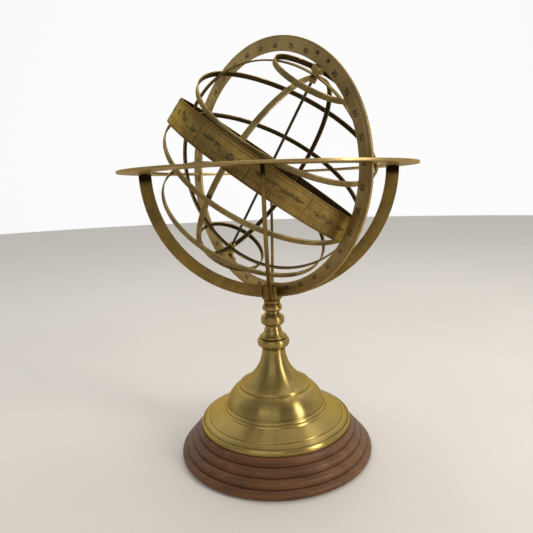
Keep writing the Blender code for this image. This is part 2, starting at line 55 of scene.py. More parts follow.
# ---- Felt pad -------------------------------------------------------------------------------
# A disc of green wool felt glued under the plinth, so that it doesn't scratch the table. Only
# its edge shows, where the cut fibres fray a little.
class Nodes:
    """Short hand for a node tree: add() makes a node, join() links two sockets."""

    def __init__(self, tree):
        self.tree = tree

    def add(self, kind, values=None, **settings):
        node = self.tree.nodes.new(kind)
        for name, value in settings.items():
            setattr(node, name, value)
        for name, value in (values or {}).items():
            node.inputs[name].default_value = value
        return node

    def join(self, source, target):
        self.tree.links.new(source, target)

    def feed(self, value, socket):
        """Link a socket, or set a number or a colour on it."""
        if isinstance(value, bpy.types.NodeSocket):
            self.join(value, socket)
        elif isinstance(value, tuple):
            socket.default_value = (*value, 1.0)
        else:
            socket.default_value = value

    def ramp(self, source, stops):
        """Colour ramp over a value: stops are (position, grey level or colour)."""
        node = self.add("ShaderNodeValToRGB")
        ramp = node.color_ramp
        while len(ramp.elements) < len(stops):
            ramp.elements.new(0.5)
        for element, (position, colour) in zip(ramp.elements, stops):
            element.position = position
            level = (colour, colour, colour) if isinstance(colour, float) else colour
            element.color = (*level, 1.0)
        self.join(source, node.inputs["Fac"])
        return node.outputs["Color"]

    def mix(self, share, first, second, blend="MIX"):
        """Mix two colours by a share."""
        node = self.add("ShaderNodeMix", data_type="RGBA", blend_type=blend)
        self.feed(share, node.inputs[0])
        self.feed(first, node.inputs[6])
        self.feed(second, node.inputs[7])
        return node.outputs[2]

    def math(self, operation, first, second=0.0, clamp=False):
        node = self.add("ShaderNodeMath", operation=operation, use_clamp=clamp)
        self.feed(first, node.inputs[0])
        self.feed(second, node.inputs[1])
        return node.outputs[0]

    def noise(self, place, scale, detail=4.0, roughness=0.55):
        node = self.add("ShaderNodeTexNoise", {"Detail": detail, "Roughness": roughness})
        self.feed(scale, node.inputs["Scale"])
        self.join(place, node.inputs["Vector"])
        return node.outputs["Fac"]

    def stretched(self, place, scale):
        """Coordinates scaled differently along each axis."""
        node = self.add("ShaderNodeMapping", {"Scale": scale})
        self.join(place, node.inputs["Vector"])
        return node.outputs["Vector"]


def new_material(name):
    """Material with a plain Principled shader and a Bump on its Normal."""
    material = bpy.data.materials.new(name)
    material.use_nodes = True
    nodes = Nodes(material.node_tree)
    shader = material.node_tree.nodes["Principled BSDF"]
    bump = nodes.add("ShaderNodeBump")
    nodes.join(bump.outputs["Normal"], shader.inputs["Normal"])
    return material, nodes, shader, bump


def wool_felt():
    """Green felt: matted fibres as fine noise, with a sheen of loose ends."""
    material, nodes, shader, bump = new_material("wool_felt")
    place = nodes.add("ShaderNodeTexCoord").outputs["Object"]
    fibres = nodes.noise(nodes.stretched(place, (1.0, 1.0, 3.0)), 1400.0, 6.0, 0.7)
    nodes.join(nodes.ramp(fibres, [(0.3, (0.010, 0.035, 0.020)), (0.7, (0.035, 0.095, 0.055))]),
               shader.inputs["Base Color"])
    nodes.join(nodes.ramp(fibres, [(0.2, 0.85), (0.8, 1.0)]), shader.inputs["Roughness"])
    shader.inputs["Sheen Weight"].default_value = 0.4
    nodes.join(fibres, bump.inputs["Height"])
    bump.inputs["Distance"].default_value = 0.4 * MM
    return material


def softened(corners, steps=6):
    """Round the corners (x, y, reach, and dirt and painted light if any) of a closed outline.

    Each corner becomes a parabola that leaves one side and meets the other at its reach from
    the corner, at most half the side: B(s) = (1-s)^2 a + 2s(1-s) corner + s^2 b. Returns the
    points, and a value for each: above 0 on a crisp outer edge and under a painted highlight,
    below 0 in a groove, where dirt has built up, and under painted shade.
    """
    table = np.array([(*corner, 0.0)[:4] for corner in corners], float)
    point, reach, dirt_and_painted_light = table[:, :2], table[:, 2], table[:, 3]
    back, ahead = np.roll(point, 1, 0) - point, np.roll(point, -1, 0) - point
    back_length, ahead_length = np.hypot(*back.T), np.hypot(*ahead.T)
    near = point + back * np.minimum(reach / back_length, 0.5)[:, None]
    far = point + ahead * np.minimum(reach / ahead_length, 0.5)[:, None]
    s = np.linspace(0.0, 1.0, steps)[None, :, None]
    curve = (1 - s) ** 2 * near[:, None] + 2 * s * (1 - s) * point[:, None] + s ** 2 * far[:, None]
    turn = (back[:, 1] * ahead[:, 0] - back[:, 0] * ahead[:, 1]) / (back_length * ahead_length)
    x, y = point.T
    winding = np.sign(np.sum(x * np.roll(y, -1) - np.roll(x, -1) * y))
    crisp = turn * winding * np.exp(-reach / (1.5 * MM))
    # A fourth number above 0 darkens the corner: dirt in the band's grooves, painted shade on the
    # hoops. Below 0 it lays a painted highlight, as on the foot.
    wear_and_painted_light = crisp[:, None] * np.sin(np.pi * s[..., 0]) - dirt_and_painted_light[:, None]
    outline, wear_and_painted_light = curve.reshape(-1, 2), wear_and_painted_light.reshape(-1)
    apart = np.hypot(*(outline - np.roll(outline, 1, 0)).T) > 0.002 * MM
    return outline[apart], wear_and_painted_light[apart]


def linked(name, data):
    """New object for some data, put into the scene."""
    thing = bpy.data.objects.new(name, data)
    bpy.context.scene.collection.objects.link(thing)
    return thing


def moved(points, place):
    """Points carried by a 4x4 placement: p' = R p + t."""
    place = np.array(place)
    return points @ place[:3, :3].T + place[:3, 3]


def grid_object(name, points, wear_and_painted_light, along, closed, material):
    """Mesh over a grid of points, rows by columns, whose columns close on themselves.

    Face (i, j) joins rows i and i+1 with columns j and j+1. The UV map holds how far along the
    rows a point is, and its distance round the section in metres; an attribute holds how much
    the surface is rubbed or dirtied there, and the painted shade and painted highlights laid on it.
    """
    rows, columns = points.shape[:2]
    spans = rows if closed else rows - 1
    i, j = np.meshgrid(np.arange(spans), np.arange(columns), indexing="ij")
    corner_i = i[..., None] + np.array([0, 1, 1, 0])
    corner_j = j[..., None] + np.array([0, 0, 1, 1])
    corners = (corner_i % rows) * columns + corner_j % columns
    mesh = bpy.data.meshes.new(name)
    mesh.vertices.add(rows * columns)
    mesh.vertices.foreach_set("co", points.reshape(-1).astype(np.float32))
    mesh.loops.add(corners.size)
    mesh.loops.foreach_set("vertex_index", corners.reshape(-1).astype(np.int32))
    mesh.polygons.add(spans * columns)
    mesh.polygons.foreach_set("loop_start", np.arange(0, corners.size, 4, dtype=np.int32))
    mesh.update(calc_edges=True)
    share = np.append(along, 2 * along[-1] - along[-2]) if closed else along
    section = points[rows // 2]
    steps = np.linalg.norm(np.roll(section, -1, 0) - section, axis=1)
    distance = np.append(0.0, np.cumsum(steps))
    uv = np.stack([share[corner_i], distance[corner_j]], -1)
    mesh.uv_layers.new(name="surface").data.foreach_set("uv", uv.reshape(-1).astype(np.float32))
    # Wear and dirt go into this attribute, and so do painted shade and painted highlights.
    wear_and_light_attribute = mesh.attributes.new("wear_and_painted_light", "FLOAT", "POINT")
    wear_and_painted_light = np.broadcast_to(wear_and_painted_light, (rows, columns))
    wear_and_light_attribute.data.foreach_set("value", wear_and_painted_light.reshape(-1).astype(np.float32))
    mesh.materials.append(material)
    return linked(name, mesh)


def tidy(thing, crease=40.0):
    """Merge doubled points, face every side outwards, and smooth all but the sharp corners."""
    shape = bmesh.new()
    shape.from_mesh(thing.data)
    bmesh.ops.remove_doubles(shape, verts=shape.verts, dist=0.001 * MM)
    bmesh.ops.recalc_face_normals(shape, faces=shape.faces)
    shape.to_mesh(thing.data)
    shape.free()
    thing.data.shade_smooth()
    thing.data.set_sharp_from_angle(angle=math.radians(crease))
    return thing


def turned(name, corners, sides, material, place=None, knurls=0, knurl_depth=0.0):
    """Turn a softened outline of (radius, height) round Z: x = r cos t, y = r sin t, z = h.

    Knurls swell the radius by knurl_depth * cos(knurls * t). place moves the result.
    """
    outline, wear_and_painted_light = softened(corners)
    t = np.linspace(0.0, math.tau, sides, endpoint=False)
    swell = 1.0 + knurl_depth * np.cos(knurls * t) if knurls else np.ones(sides)
    ring = np.stack([swell * np.cos(t), swell * np.sin(t)], -1)
    points = np.empty((sides, len(outline), 3))
    points[..., :2] = ring[:, None, :] * outline[None, :, :1]
    points[..., 2] = outline[None, :, 1]
    if place is not None:
        points = moved(points, place)
    along = t * np.abs(outline[:, 0]).max()
    return tidy(grid_object(name, points, wear_and_painted_light, along, True, material))


def add(thing, body, slot, *nodes):
    """Fix a finished piece to its body, standing for the named solids, which are hidden; slot is
    not used.
    """
    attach(thing, body)
    if nodes:
        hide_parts(*nodes)
    return thing


def felt_outline():
    """Flat disc, its edge barely rounded."""
    low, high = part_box("felt_pad")
    edge = 0.35 * MM
    return [(0.0, low.z, 0.0), (high.x, low.z, edge), (high.x, high.z, edge), (0.0, high.z, 0.0)]


add(turned("felt", felt_outline(), 160, wool_felt()), "stand", "felt", "felt_pad")


# ---- Wooden plinth --------------------------------------------------------------------------
# Turned from one board of stained hardwood: four rounded steps with a fine groove under each,
# and a flat top for the brass foot. The grain runs across the board, waxed over the stain.
CLEARANCE = 0.3 * MM     # left between pieces that are seated on each other


def stained_hardwood():
    """Red-brown stain over long grain, darker in the pores and grooves, thinly waxed."""
    material, nodes, shader, bump = new_material("stained_hardwood")
    place = nodes.add("ShaderNodeTexCoord").outputs["Object"]
    wear_and_painted_light = nodes.add("ShaderNodeAttribute", attribute_name="wear_and_painted_light").outputs["Fac"]
    figure = nodes.noise(nodes.stretched(place, (3.0, 26.0, 22.0)), 2.2, 5.0, 0.6)
    pores = nodes.noise(nodes.stretched(place, (22.0, 620.0, 480.0)), 1.0, 3.0, 0.6)
    blotch = nodes.noise(place, 11.0, 3.0)
    colour = nodes.ramp(figure, [(0.30, (0.085, 0.033, 0.010)), (0.50, (0.160, 0.066, 0.018)),
                                 (0.72, (0.235, 0.108, 0.030))])
    open_pores = nodes.ramp(pores, [(0.36, 0.55), (0.50, 0.0)])
    colour = nodes.mix(open_pores, colour, (0.045, 0.020, 0.012))
    colour = nodes.mix(nodes.math("MULTIPLY", blotch, 0.45), colour, (0.095, 0.048, 0.034))
    colour = nodes.mix(nodes.math("MULTIPLY", wear_and_painted_light, -1.6, True), colour, (0.010, 0.005, 0.004))
    colour = nodes.mix(nodes.math("MULTIPLY", wear_and_painted_light, 0.8, True), colour, (0.260, 0.130, 0.075))
    nodes.join(colour, shader.inputs["Base Color"])
    nodes.join(nodes.ramp(pores, [(0.3, 0.55), (0.7, 0.42)]), shader.inputs["Roughness"])
    shader.inputs["Specular IOR Level"].default_value = 0.22
    shader.inputs["Coat Weight"].default_value = 0.06
    shader.inputs["Coat Roughness"].default_value = 0.30
    nodes.join(pores, bump.inputs["Height"])
    bump.inputs["Distance"].default_value = 0.10 * MM
    return material


def plinth_outline():
    """Four rounded steps down from the flat top, then the underside with the nut's pocket."""
    low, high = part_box("wood_plinth")
    foot, rod, washer = (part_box(node)[1] for node in ("bell_foot", "tie_rod", "tie_washer"))
    steps = 4
    rise = (high.z - low.z) / steps
    inner = foot.x + 3.6 * MM
    run = (high.x - inner) / (steps - 1)
    bore = rod.x + CLEARANCE
    corners = [(bore, high.z, 0.3 * MM), (inner - 2.2 * MM, high.z, 1.2 * MM)]
    for step in range(steps):
        radius, top = inner + run * step, high.z - rise * step
        if step:
            corners.append((radius - 3.6 * MM, top - 0.5 * MM, 1.6 * MM))
        corners.append((radius, top - 2.9 * MM, 2.6 * MM))
        if step < steps - 1:
            corners.append((radius + 0.6 * MM, top - rise + 1.2 * MM, 1.4 * MM))
            corners.append((radius + 0.2 * MM, top - rise - 0.2 * MM, 0.5 * MM))
    corners.append((high.x - 0.6 * MM, low.z, 1.2 * MM))
    pocket, roof = washer.x + 3.0 * MM, washer.z + CLEARANCE
    return corners + [(pocket, low.z, 0.5 * MM), (pocket, roof, 0.5 * MM), (bore, roof, 0.3 * MM)]


add(turned("plinth", plinth_outline(), 200, stained_hardwood()), "stand", "wood", "wood_plinth")


# ---- Spun brass foot ------------------------------------------------------------------------
# Spun on a lathe from sheet over a former, so fine lines run round it. A concave bell flares
# into two rounded steps and a sloping plate, with scribed lines and a rolled rim.
def aged_brass_group():
    """Node group for old brass: tarnish clouds, rubbed bright edges and painted highlights, dirt in
    grooves and painted shade, and the fine lines of turning or rolling along the UV map. It puts
    out colour, roughness, height."""
    group = bpy.data.node_groups.new("aged_brass", "ShaderNodeTree")
    inputs = (("Bright", "Color"), ("Tarnish", "Color"), ("Tarnish Amount", "Float"),
              ("Polish", "Float"), ("Lines", "Float"), ("Clouds", "Float"))
    for name, kind in inputs:
        group.interface.new_socket(name, in_out="INPUT", socket_type="NodeSocket" + kind)
    for name, kind in (("Color", "Color"), ("Roughness", "Float"), ("Height", "Float")):
        group.interface.new_socket(name, in_out="OUTPUT", socket_type="NodeSocket" + kind)
    nodes = Nodes(group)
    given = nodes.add("NodeGroupInput").outputs
    result = nodes.add("NodeGroupOutput").inputs
    place = nodes.add("ShaderNodeTexCoord").outputs["Object"]
    surface = nodes.add("ShaderNodeUVMap", uv_map="surface").outputs["UV"]
    wear_and_painted_light = nodes.add("ShaderNodeAttribute", attribute_name="wear_and_painted_light").outputs["Fac"]
    clouds = nodes.noise(place, given["Clouds"], 6.0, 0.62)
    patches = nodes.noise(place, nodes.math("MULTIPLY", given["Clouds"], 5.3), 4.0, 0.6)
    specks = nodes.noise(place, 850.0, 3.0, 0.7)
    fine = nodes.noise(nodes.stretched(surface, (8.0, 3600.0, 1.0)), 1.0, 4.0, 0.7)
    broad = nodes.noise(nodes.stretched(surface, (4.0, 620.0, 1.0)), 1.0, 3.0, 0.6)
    cover = nodes.math("MULTIPLY", nodes.math("SUBTRACT", clouds, 0.5), 2.0)
    cover = nodes.math("ADD", cover, given["Tarnish Amount"])
    mottle = nodes.math("MULTIPLY", nodes.math("SUBTRACT", patches, 0.5), 0.7)
    cover = nodes.math("ADD", cover, mottle)
    cover = nodes.math("ADD", cover, 0.0, True)
    # Below 0 the value darkens toward near black: dirt in grooves, and painted shade on hoops and
    # arms.
    groove = nodes.math("MULTIPLY", wear_and_painted_light, -2.2, True)
    # Above 0 it brightens toward bare brass: rubbed edges, and painted highlights on the foot.
    rubbed_and_painted_highlight = nodes.math("MULTIPLY", wear_and_painted_light, nodes.math("MULTIPLY", patches, 2.6), True)
    pitted = nodes.ramp(specks, [(0.60, 0.0), (0.72, 0.7)])
    colour = nodes.mix(cover, given["Bright"], given["Tarnish"])
    colour = nodes.mix(pitted, colour, nodes.mix(0.5, given["Tarnish"], (0.02, 0.012, 0.006)))
    streak = nodes.math("ADD", nodes.math("MULTIPLY", nodes.math("SUBTRACT", fine, 0.5), 0.6),
                        nodes.math("MULTIPLY", nodes.math("SUBTRACT", broad, 0.5), 0.5))
    streak = nodes.math("MULTIPLY", streak, given["Lines"])
    colour = nodes.mix(1.0, colour, nodes.math("ADD", streak, 1.0), "MULTIPLY")
    # Painted highlights and rubbed edges first, then painted shade and groove dirt.
    colour = nodes.mix(rubbed_and_painted_highlight, colour, given["Bright"])
    colour = nodes.mix(groove, colour, (0.022, 0.013, 0.006))
    nodes.join(colour, result["Color"])
    rough = nodes.math("ADD", given["Polish"], nodes.math("MULTIPLY", cover, 0.18))
    rough = nodes.math("ADD", rough, nodes.math("MULTIPLY", streak, 0.25))
    rough = nodes.math("ADD", rough, nodes.math("MULTIPLY", groove, 0.30))
    rough = nodes.math("ADD", rough, nodes.math("MULTIPLY", pitted, 0.12), True)
    nodes.join(rough, result["Roughness"])
    height = nodes.math("ADD", streak, nodes.math("MULTIPLY", patches, 0.35))
    height = nodes.math("SUBTRACT", height, nodes.math("MULTIPLY", pitted, 0.2))
    nodes.join(height, result["Height"])
    return group


AGED_BRASS = aged_brass_group()


def brass(name, bright, tarnish, amount, polish, lines, clouds, depth):
    """Brass finish from the aged_brass group; depth is how deep its lines and pits are cut."""
    material, nodes, shader, bump = new_material(name)
    aged = nodes.add("ShaderNodeGroup", node_tree=AGED_BRASS)
    values = {"Bright": bright, "Tarnish": tarnish, "Tarnish Amount": amount,
              "Polish": polish, "Lines": lines, "Clouds": clouds}
    for socket, value in values.items():
        nodes.feed(value, aged.inputs[socket])
    nodes.join(aged.outputs["Color"], shader.inputs["Base Color"])
    nodes.join(aged.outputs["Roughness"], shader.inputs["Roughness"])
    nodes.join(aged.outputs["Height"], bump.inputs["Height"])
    shader.inputs["Metallic"].default_value = 1.0
    shader.inputs["Specular Tint"].default_value = (0.80, 0.66, 0.42, 1.0)
    bump.inputs["Distance"].default_value = depth
    return material


BLEND = 99     # reach, in millimetres, past half of any side: the whole corner becomes a curve


def foot_outline():
    """Bell, two steps and sloping plate: radius and height above the plinth in millimetres,
    then the corner's reach, and below 0 how strongly a painted highlight brightens it toward bare
    brass.

    The inside follows the outside a sheet's width in.
    """
    low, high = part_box("bell_foot")
    rim, rise, seat = high.x / MM, (high.z - low.z) / MM, low.z / MM
    bore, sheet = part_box("tie_rod")[1].x / MM + 0.3, 1.6
    # Fourth numbers below 0 lay painted highlights on the step corners, the scribed lines and the
    # rolled rim.
    outside = [(13.4, rise, 0.5), (13.6, 80.0, BLEND), (17.2, 67.5, BLEND), (25.6, 55.5, BLEND),
               (34.8, 48.2, BLEND), (39.8, 46.0, 0.6, -0.3), (40.7, 45.5, 0.5, -0.8),
               (41.0, 42.9, 0.6, -0.2), (42.2, 41.9, 0.6, -0.7), (48.2, 38.4, BLEND),
               (54.2, 30.4, BLEND), (56.4, 22.8, 1.2), (57.2, 21.8, 0.4, -0.6),
               (58.2, 21.4, 0.5, -0.8), (58.8, 19.2, 0.4, -0.2), (60.6, 18.6, 0.5, -0.8),
               (61.4, 17.0, 0.4, -0.4), (77.0, 10.1, 0.4, -0.3), (77.5, 9.2, 0.4, -0.3),
               (78.6, 9.4, 0.5, -0.8), (rim - 2.6, 6.1, 1.0), (rim - 1.4, 6.2, 0.9, -0.5),
               (rim, 3.6, 1.4, -0.4), (rim - 0.5, 0.0, 0.3)]
    inside = [(rim - 0.5 - sheet, 0.0, 0.2), (rim - sheet - 0.6, 3.6, 0.8), (59.4, 15.2, 1.0),
              (54.6, 20.0, 1.0), (52.4, 29.6, BLEND), (47.0, 37.0, BLEND), (40.0, 40.6, 1.0),
              (38.8, 44.2, 1.0), (33.8, 46.6, BLEND), (24.4, 54.0, BLEND), (15.8, 66.6, BLEND),
              (12.0, 80.0, BLEND), (11.6, rise - 3.2, 0.3), (bore, rise - 3.2, 0.2),
              (bore, rise, 0.2)]
    return [(r * MM, (seat + h) * MM, reach * MM, *dirt_and_painted_light) for r, h, reach, *dirt_and_painted_light in outside + inside]


turned_brass = brass("turned_brass", (0.45, 0.325, 0.105), (0.25, 0.185, 0.068),
                     amount=0.50, polish=0.24, lines=0.7, clouds=22.0, depth=0.004 * MM)
turned_shader = turned_brass.node_tree.nodes["Principled BSDF"].inputs
turned_shader["Anisotropic"].default_value = 0.9
turned_shader["Anisotropic Rotation"].default_value = 0.25     # lathe lines draw a glint upright
add(turned("spun_foot", foot_outline(), 256, turned_brass), "stand", "column_brass", "bell_foot")


# ---- Turned column --------------------------------------------------------------------------
# Three pieces turned from solid bar and threaded on the tie rod: a collar with a heavy torus,
# a knop, and a small bead under the hub. Each has a line or two cut with a pointed tool.
def column_outline(node, shape):
    """Outline of a column piece from its top to its base, closed along the tie rod's bore.

    shape gives radius in millimetres and height above the piece's base, also in millimetres,
    as drawn; heights are then stretched to the solid's own.
    """
    low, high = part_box(node)
    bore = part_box("tie_rod")[1].x + CLEARANCE
    rise = (high.z - low.z) / shape[0][1]
    points = [(r * MM, low.z + h * rise, reach * MM) for r, h, reach in shape]
    return [(bore, high.z, 0.2 * MM), *points, (bore, low.z, 0.2 * MM)]


COLLAR = [(9.8, 22.3, 0.3), (10.2, 20.8, BLEND), (11.4, 17.8, BLEND), (14.6, 15.3, 0.7),
          (15.5, 15.0, 0.5), (15.5, 13.6, 0.5), (14.6, 13.0, 0.3), (14.3, 12.3, 0.3),
          (17.9, 11.9, BLEND), (18.5, 7.6, BLEND), (17.4, 3.3, BLEND), (13.9, 3.1, 0.4),
          (13.5, 1.8, 0.4), (14.1, 1.3, 0.3), (13.3, 0.0, 0.3)]
KNOP = [(8.0, 19.9, 0.3), (8.2, 18.4, 0.8), (9.4, 17.4, BLEND), (13.2, 15.0, BLEND),
        (13.5, 11.0, BLEND), (13.0, 6.8, BLEND), (9.0, 4.7, BLEND), (8.6, 2.8, BLEND),
        (9.8, 0.5, 0.3), (9.9, 0.0, 0.2)]
BEAD = [(9.0, 8.9, 0.2), (10.3, 8.5, 0.4), (10.3, 7.8, 0.3), (9.6, 7.5, 0.2),
        (11.1, 6.9, BLEND), (11.5, 4.8, BLEND), (10.4, 2.2, BLEND), (8.5, 1.8, 0.5),
        (8.2, 0.0, 0.3)]
for piece, node, shape in (("collar_turned", "collar", COLLAR), ("knop_turned", "baluster", KNOP),
                           ("bead_turned", "upper_bead", BEAD)):
    made = turned(piece, column_outline(node, shape), 128, turned_brass)
    add(made, "stand", "column_brass", node)


# ---- Tie rod, nut and washer ----------------------------------------------------------------
# Plain steel hardware inside the column and plinth: the rod draws hub, column, foot and plinth
# together. It hardly shows, so the plain solids stay, with an oiled and slightly rusted finish.
def oiled_steel():
    """Dark oiled steel with blotches of rust."""
    material, nodes, shader, bump = new_material("oiled_steel")
    place = nodes.add("ShaderNodeTexCoord").outputs["Object"]
    blotch = nodes.noise(place, 60.0, 6.0, 0.6)
    grain = nodes.noise(nodes.stretched(place, (1.0, 1.0, 0.08)), 1800.0, 3.0, 0.6)
    nodes.join(nodes.ramp(blotch, [(0.40, (0.085, 0.075, 0.062)), (0.62, (0.060, 0.040, 0.025)),
                                   (0.75, (0.090, 0.040, 0.016))]), shader.inputs["Base Color"])
    nodes.join(nodes.ramp(blotch, [(0.35, 0.36), (0.75, 0.70)]), shader.inputs["Roughness"])
    nodes.join(nodes.ramp(blotch, [(0.55, 1.0), (0.75, 0.55)]), shader.inputs["Metallic"])
    nodes.join(grain, bump.inputs["Height"])
    bump.inputs["Distance"].default_value = 0.02 * MM
    return material


steel = oiled_steel()
for node in ("tie_rod", "tie_nut", "tie_washer"):
    frame["nodes"][node].data.materials.clear()
    frame["nodes"][node].data.materials.append(steel)


# ---- Hub ------------------------------------------------------------------------------------
# A turned boss on top of the column, slotted crosswise for the four arms and on the diagonal
# for the foot of the meridian ring, its edges just broken with a file.
def evaluated_mesh(thing):
    """New mesh of what an object's modifiers or letters come out as."""
    state = bpy.context.evaluated_depsgraph_get()
    return bpy.data.meshes.new_from_object(thing.evaluated_get(state))


def evaluated(thing):
    """Put what the modifiers make of an object into its own mesh, and drop the modifiers."""
    made = evaluated_mesh(thing)
    thing.modifiers.clear()
    thing.data = made
    return thing


def box_mesh(low, high, place):
    """Eight corners between low and high, moved by place, as a closed box."""
    pick = np.array([[x, y, z] for x in (0, 1) for y in (0, 1) for z in (0, 1)], float)
    points = np.array(low) + pick * (np.array(high) - np.array(low))
    faces = [(0, 1, 3, 2), (4, 6, 7, 5), (0, 4, 5, 1), (2, 3, 7, 6), (0, 2, 6, 4), (1, 5, 7, 3)]
    mesh = bpy.data.meshes.new("cutter")
    mesh.from_pydata(moved(points, place).tolist(), [], faces)
    return mesh


def cut(thing, meshes):
    """Cut each mesh out of an object by an exact Boolean, and keep only the result."""
    tools = []
    for mesh in meshes:
        tool = linked("cutter", mesh)
        step = thing.modifiers.new("cut", "BOOLEAN")
        step.operation, step.solver, step.object = "DIFFERENCE", "EXACT", tool
        tools.append(tool)
    evaluated(thing)
    for tool in tools:
        bpy.data.objects.remove(tool)
    return thing


def broken_edges(thing, width, segments=2, angle=40.0):
    """Bevel an object's sharp edges, then smooth its faces."""
    bevel = thing.modifiers.new("broken_edges", "BEVEL")
    bevel.width, bevel.segments = width, segments
    bevel.limit_method, bevel.angle_limit = "ANGLE", math.radians(angle)
    bevel.harden_normals = False
    evaluated(thing)
    thing.data.shade_smooth()
    thing.data.set_sharp_from_angle(angle=math.radians(35.0))
    return thing


def joint(name):
    """The record's entry for a joint."""
    return next(entry for entry in frame["joints"] if entry["name"] == name)


CENTRE = Vector(joint("sphere_spin")["pos_m"])
POLE = Vector(joint("sphere_spin")["axis"]).normalized()
MERIDIAN_NORMAL = -Vector(joint("meridian_tilt")["axis"]).normalized()
MERIDIAN_TURN = math.atan2(MERIDIAN_NORMAL.y, MERIDIAN_NORMAL.x) - math.pi / 2


def hub_piece(material):
    """Boss with a straight side, a sloping shoulder and a neck, then its five slots."""
    low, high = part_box("hub")
    arm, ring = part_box("arm_right"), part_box("meridian_ring")
    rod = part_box("tie_rod")[1]
    bore, seat = rod.x + CLEARANCE, rod.z + CLEARANCE
    neck, shoulder, slope = high.x - 2.3 * MM, low.z + 7.0 * MM, low.z + 4.7 * MM
    outline = [(0.0, high.z, 0.0), (high.x, high.z, 0.35 * MM), (high.x, shoulder, 0.3 * MM),
               (neck, slope, 0.3 * MM), (neck, low.z + 1.5 * MM, 0.4 * MM),
               (neck - 0.6 * MM, low.z, 0.2 * MM), (bore, low.z, 0.2 * MM),
               (bore, seat, 0.2 * MM), (0.0, seat, 0.0)]
    hub = turned("hub_turned", outline, 112, material)
    reach, above = 2 * high.x, high.z + 5 * MM
    half = arm[1].y + CLEARANCE
    slots = [box_mesh((arm[0].x - CLEARANCE, -half, arm[0].z - CLEARANCE), (reach, half, above),
                      Matrix.Rotation(quarter * math.pi / 2, 4, "Z")) for quarter in range(4)]
    half_ring = 1.25 * MM
    half = half_ring + CLEARANCE
    slots.append(box_mesh((-reach, -half, ring[0].z - CLEARANCE), (reach, half, above),
                          Matrix.Rotation(MERIDIAN_TURN, 4, "Z")))
    return broken_edges(cut(hub, slots), 0.25 * MM)


cradle_brass = brass("cradle_brass", (0.33, 0.21, 0.055), (0.12, 0.080, 0.027),
                     amount=0.55, polish=0.29, lines=0.7, clouds=26.0, depth=0.012 * MM)
add(hub_piece(cradle_brass), "stand", "cradle_brass", "hub")


# ---- Cradle arms ----------------------------------------------------------------------------
# Four quarter arcs bent from flat bar, their edges rounded over. Each foot stands in the hub,
# and each head is cut down to a tongue that comes up through the horizon ring and is peened.
def swept(name, path, side, up, half_width, half_depth, corner, dirt_and_painted_light, material):
    """Carry a rounded bar section along a path.

    Row i is path + side * a + up * b, where (a, b) runs round a rectangle of that row's half
    width and half depth, its corners quarter circles of that row's corner radius. The list
    after the corner radii is painted shade: how much each row is darkened.
    """
    steps = 5
    quarter = np.linspace(0.0, math.pi / 2, steps)
    t = (np.arange(4)[:, None] * math.pi / 2 + quarter).reshape(-1)
    sign_a = np.repeat([1.0, -1.0, -1.0, 1.0], steps)
    sign_b = np.repeat([1.0, 1.0, -1.0, -1.0], steps)
    inner_a, inner_b = half_width - corner, half_depth - corner
    a = sign_a * inner_a[:, None] + corner[:, None] * np.cos(t)
    b = sign_b * inner_b[:, None] + corner[:, None] * np.sin(t)
    points = path[:, None] + side[:, None] * a[..., None] + up[:, None] * b[..., None]
    corner_dirt = 0.20
    # Each row's own darkening is painted shade: the arms' shade under the horizon ring.
    wear_and_painted_light = -corner_dirt * np.tile(np.sin(2 * quarter), 4) - dirt_and_painted_light[:, None]
    along = np.append(0.0, np.cumsum(np.linalg.norm(np.diff(path, axis=0), axis=1)))
    return tidy(grid_object(name, points, wear_and_painted_light, along, False, material))


def solid_points(node):
    """Corners of a plain solid, one to a row."""
    solid = frame["nodes"][node].data
    spots = np.empty(len(solid.vertices) * 3, np.float32)
    solid.vertices.foreach_get("co", spots)
    return spots.reshape(-1, 3)


def arm_piece(name, node, azimuth, material):
    """Arc about the centre of the horizon ring's underside, then the tongue straight up.

    Under the ring the arm is darkened with painted shade, 0.60 exp(-(d / 9 mm)^4) at a depth d
    below the ring.
    """
    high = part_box("arm_right")[1]
    ring_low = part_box("horizon_ring")[0].z
    spots = solid_points("arm_right")
    x, drop = spots[:, 0], ring_low - spots[:, 2]
    inner, outer = np.hypot(x, drop).min(), np.hypot(x, drop).max()
    middle, half, thick = (inner + outer) / 2, (outer - inner) / 2, high.y
    foot = np.arctan2(x, drop).min()
    t = np.linspace(foot, math.pi / 2 - CLEARANCE / middle, 72)
    path = np.stack([middle * np.sin(t), 0 * t, ring_low - middle * np.cos(t)], -1)
    side = np.stack([np.sin(t), 0 * t, -np.cos(t)], -1)
    edge, tongue = 0.45 * MM, 3.0 * MM
    width, depth, corner = (np.full(len(t), value) for value in (half, thick, edge))
    peened = high.z + 0.15 * MM
    head = np.array([path[-1], path[-1], [middle, 0.0, high.z], [middle, 0.0, peened]])
    path = np.concatenate([path[:1], path, head, head[-1:]])
    side = np.concatenate([side[:1], side, np.tile([[1.0, 0.0, 0.0]], (5, 1))])
    narrow = half - tongue
    ends = [half - 0.5 * MM, narrow, narrow, narrow - 0.3 * MM, 0.0]
    width = np.concatenate([[0.0], width, ends])
    ends = [thick - 0.5 * MM, 0.9 * MM, 0.9 * MM, 0.6 * MM, 0.0]
    depth = np.concatenate([[0.0], depth, ends])
    corner = np.concatenate([[0.0], corner, [edge, 0.2 * MM, 0.2 * MM, 0.2 * MM, 0.0]])
    up = np.tile([[0.0, 1.0, 0.0]], (len(path), 1))
    under_ring = ring_low - path[:, 2]
    # Painted shade where the horizon ring hangs over the arm, fading within about 9 mm below it.
    dirt_and_painted_light = 0.60 * np.exp(-(under_ring / (9.0 * MM)) ** 4) * (under_ring > 0.0)
    turn = np.array(Matrix.Rotation(azimuth, 3, "Z"))
    path, side, up = path @ turn.T, side @ turn.T, up @ turn.T
    arm = swept(name, path, side, up, width, depth, corner, dirt_and_painted_light, material)
    return add(arm, "stand", "cradle_brass", node)


for quarter, side in enumerate(("right", "back", "left", "front")):
    arm_piece("cradle_arm_" + side, "arm_" + side, quarter * math.pi / 2, cradle_brass)


